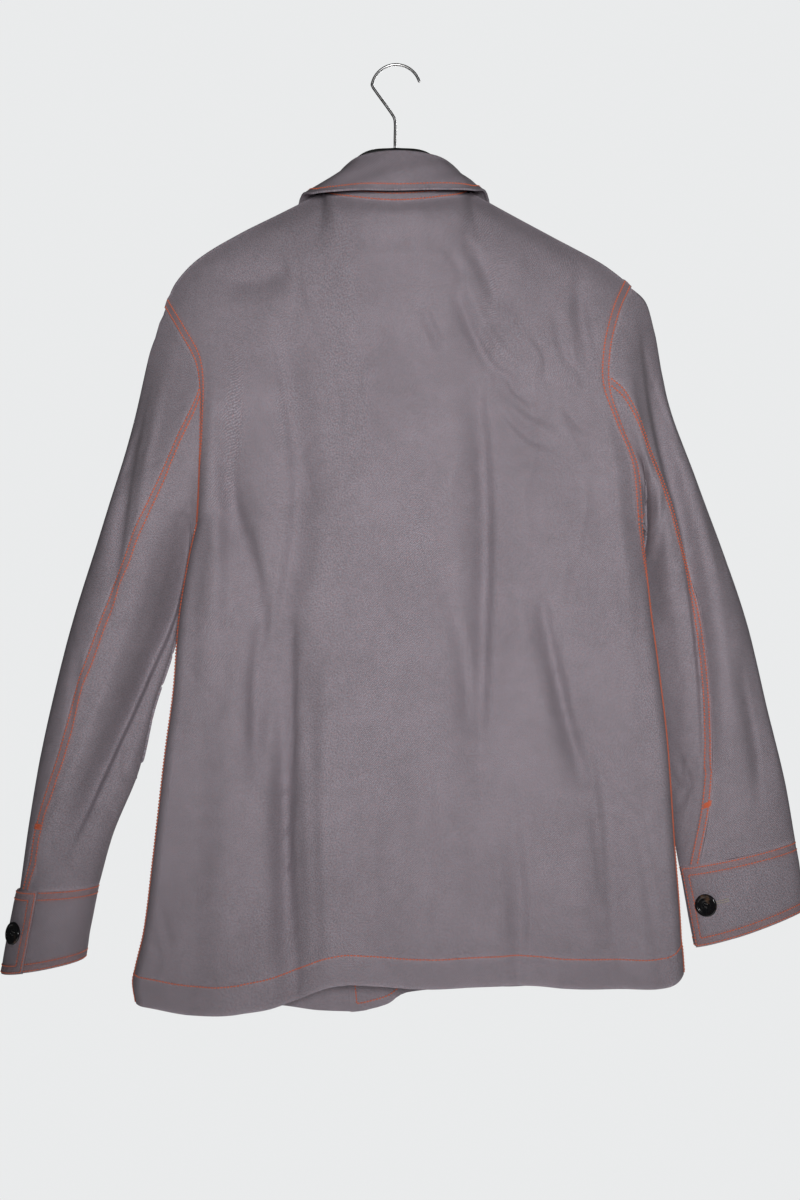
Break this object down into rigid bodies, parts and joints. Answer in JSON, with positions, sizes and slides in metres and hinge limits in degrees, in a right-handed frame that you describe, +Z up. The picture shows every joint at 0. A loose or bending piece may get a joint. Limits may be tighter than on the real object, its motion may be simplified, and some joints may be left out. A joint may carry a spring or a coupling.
{
  "type": "chore jacket on a hanger",
  "caption": "Long-sleeved cloth chore jacket with turned-down collar, two-piece sleeves and buttoned cuffs, hanging buttoned on a thin hanger with a wire hook.",
  "frame": {"origin": "inside top of the hook's crook, where the hanger rests on a rail or hook", "axes": "+Z up along the hanging jacket, +Y out of the jacket's front, +X toward the wearer's right; the back faces -Y"},
  "size_m": [0.7778, 0.1508, 0.9201],
  "materials": {
    "cloth": "matt washed cotton twill",
    "button": "polished dark horn look",
    "hanger_plastic": "satin black plastic",
    "hook_steel": "bright drawn wire"
  },
  "bodies": {
    "root": {"back": "cloth", "front_left": "cloth", "front_right": "cloth", "collar_stand": "cloth", "collar_fall": "cloth", "sleeve_upper_left": "cloth", "sleeve_under_left": "cloth", "cuff_left": "cloth", "sleeve_upper_right": "cloth", "sleeve_under_right": "cloth", "cuff_right": "cloth", "pocket_left": "cloth", "pocket_right": "cloth", "button_cuff_left": "button", "button_cuff_right": "button", "button_front_1": "button", "button_front_2": "button", "button_front_3": "button", "button_front_4": "button", "button_front_5": "button", "hanger": "hanger_plastic", "hanger_hook": "hook_steel"}
  },
  "joints": []
}
